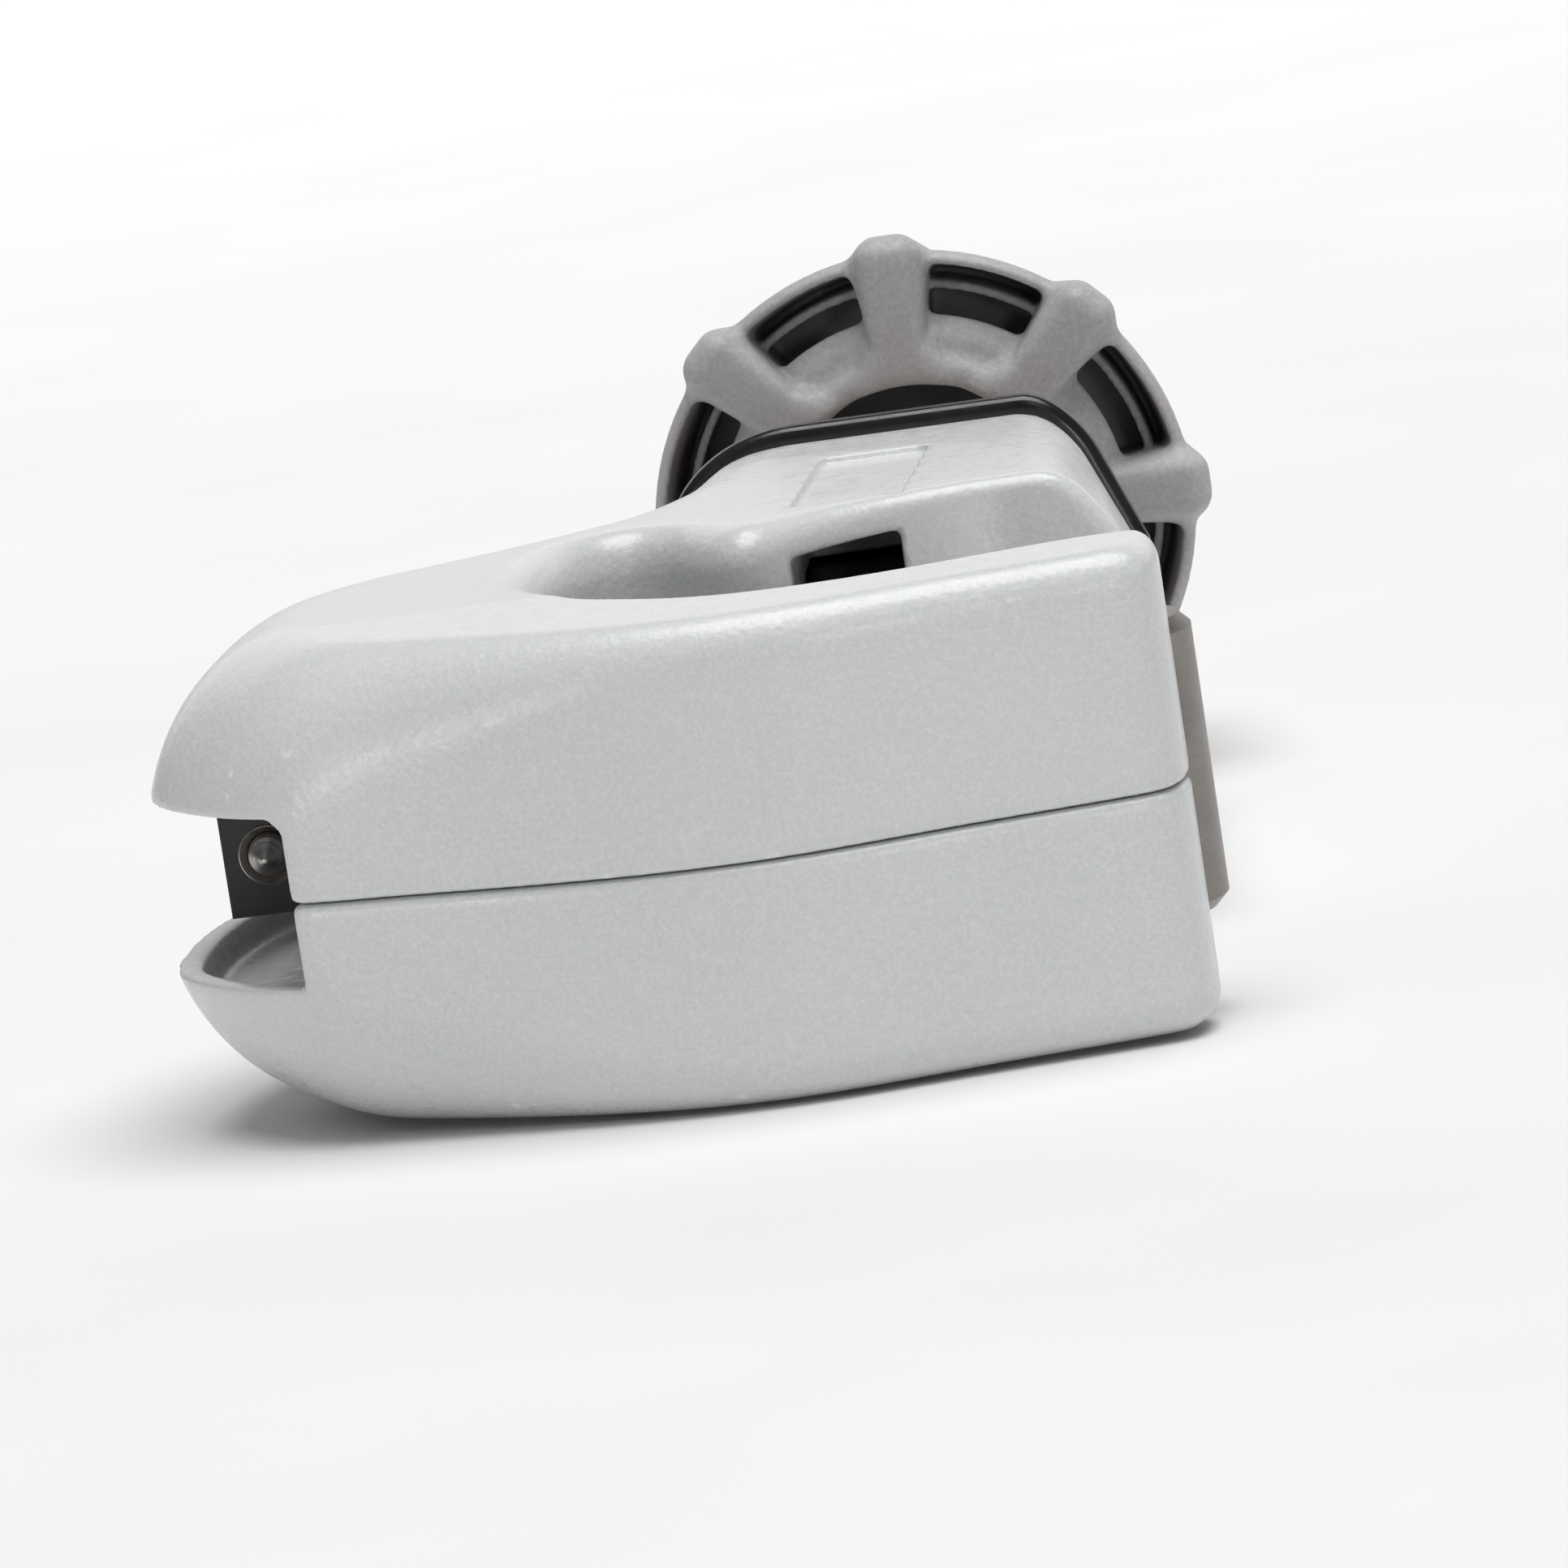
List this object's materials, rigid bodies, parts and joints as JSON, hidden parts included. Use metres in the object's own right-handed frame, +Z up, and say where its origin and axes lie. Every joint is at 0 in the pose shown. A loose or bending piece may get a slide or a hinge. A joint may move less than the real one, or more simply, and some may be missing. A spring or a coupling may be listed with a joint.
{
  "type": "tube cutter",
  "caption": "Hand tube cutter with a split cast C frame, support rollers, a screw-fed cutting wheel, a ribbed feed knob and a swing-out reamer.",
  "frame": {"origin": "under the middle of the part's own box, level with the lowest rib of the knob", "axes": "+Y along the feed screw from the rollers towards the knob, +X out of the open side of the mouth, +Z up through the frame's two halves"},
  "size_m": [0.0662, 0.141, 0.0406],
  "materials": {
    "frame_paint": "light cool grey pebbled paint, semi-gloss",
    "dark_screws": "black oxide",
    "ground_steel": "ground",
    "roller_steel": "dull turned steel",
    "black_gloss": "glossy black",
    "bronze": "turned",
    "black_steel": "satin black",
    "thread_steel": "zinc plated",
    "knob_plastic": "matte speckled grey",
    "turned_steel": "bright turned"
  },
  "bodies": {
    "frame": {"lower_shell": "frame_paint", "upper_shell": "frame_paint", "shell_screws": "dark_screws", "roller_axles": "ground_steel", "neck_collar": "black_gloss", "collar_screws": "dark_screws", "feed_nut": "bronze", "reamer_pivot_pin": "ground_steel", "reamer_washer": "ground_steel"},
    "carriage": {"cutter_slide": "black_steel", "wheel_pin": "ground_steel", "pin_clip": "dark_screws", "swivel_clip": "ground_steel", "thrust_washer": "bronze"},
    "cutter": {"cutting_wheel": "ground_steel"},
    "feed_knob": {"feed_screw": "thread_steel", "knob": "knob_plastic", "knob_screw": "thread_steel", "spare_wheel": "ground_steel", "knob_cap": "knob_plastic"},
    "roller_a": {"roller_outer_right": "roller_steel"},
    "roller_b": {"roller_outer_left": "roller_steel"},
    "roller_c": {"roller_inner_right": "roller_steel"},
    "roller_d": {"roller_inner_left": "roller_steel"},
    "reamer": {"reamer_holder": "black_steel", "reamer_tip": "turned_steel", "reamer_collar": "turned_steel"}
  },
  "joints": [
    {"name": "feed_slide", "type": "slide", "parent": "frame", "child": "carriage", "axis": [0, -1, 0], "range_m": [-0.01655, 0.01585]},
    {"name": "knob_turn", "type": "hinge", "parent": "carriage", "child": "feed_knob", "pos_m": [0.0101, 0, 0.0203], "axis": [0, -1, 0], "range_deg": [-2980, 2854]},
    {"name": "wheel_spin", "type": "hinge", "parent": "carriage", "child": "cutter", "pos_m": [0.0101, -0.03001, 0.0203], "axis": [0, 0, 1], "continuous": true},
    {"name": "roller_outer_right_spin", "type": "hinge", "parent": "frame", "child": "roller_a", "pos_m": [0.0279, -0.05501, 0.0203], "axis": [0, 0, 1], "continuous": true},
    {"name": "roller_outer_left_spin", "type": "hinge", "parent": "frame", "child": "roller_b", "pos_m": [-0.0077, -0.05501, 0.0203], "axis": [0, 0, 1], "continuous": true},
    {"name": "roller_inner_right_spin", "type": "hinge", "parent": "frame", "child": "roller_c", "pos_m": [0.0163, -0.06161, 0.0203], "axis": [0, 0, 1], "continuous": true},
    {"name": "roller_inner_left_spin", "type": "hinge", "parent": "frame", "child": "roller_d", "pos_m": [0.0039, -0.06161, 0.0203], "axis": [0, 0, 1], "continuous": true},
    {"name": "reamer_swing", "type": "hinge", "parent": "frame", "child": "reamer", "pos_m": [-0.0225, -0.03101, 0.0203], "axis": [0, 0, -1], "range_deg": [0, 150]}
  ],
  "couplings": [
    {"joint": "knob_turn", "follows": "feed_slide", "rad_per_m": 3141.6}
  ]
}
